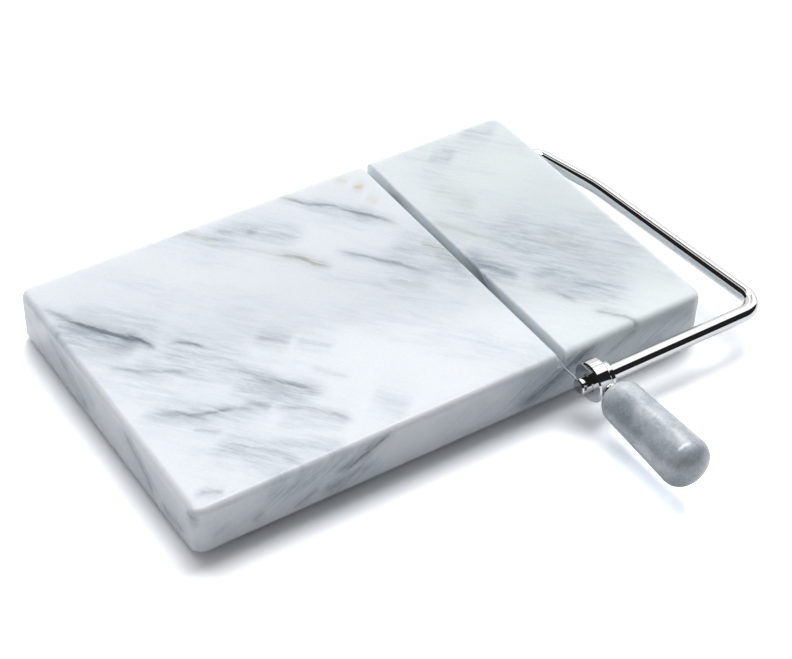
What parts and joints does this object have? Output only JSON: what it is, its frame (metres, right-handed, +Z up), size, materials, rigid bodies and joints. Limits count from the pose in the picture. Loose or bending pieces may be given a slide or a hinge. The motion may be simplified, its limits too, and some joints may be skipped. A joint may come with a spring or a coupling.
{
  "type": "cheese slicer",
  "caption": "Marble cheese slicer: a veined slab with a cross groove, a chromed wire bow hinged in its end and a tapered marble handle.",
  "frame": {"origin": "middle of the board's footprint, on the table that the feet stand on", "axes": "+X along the board from its plain end to the end with the bow, +Y from the front, where the handle is, to the back, +Z up"},
  "size_m": [0.2236, 0.189, 0.0241],
  "materials": {
    "marble": "honed white marble with blue-grey veins",
    "marble_grey": "polished grey marble",
    "chrome": "bright chrome plating",
    "steel": "plain stainless steel",
    "brass": "plain brass",
    "nylon": "natural nylon",
    "rubber": "clear grey soft rubber"
  },
  "bodies": {
    "board": {"marble_board": "marble", "foot_front_left": "rubber", "foot_front_right": "rubber", "foot_back_left": "rubber", "foot_back_right": "rubber", "pivot_bush_inner": "nylon", "pivot_bush_outer": "nylon"},
    "bow": {"bow_rod": "chrome", "cutting_wire": "steel", "wire_stop_back": "steel", "wire_stop_front": "steel", "handle_hub": "chrome", "handle_ferrule": "chrome", "handle_stud": "steel", "handle_insert": "brass", "marble_handle": "marble_grey"}
  },
  "joints": [
    {"name": "bow_swing", "type": "hinge", "parent": "board", "child": "bow", "pos_m": [0.07, 0.042, 0.0133], "axis": [-1, 0, 0], "range_deg": [0, 105]}
  ]
}
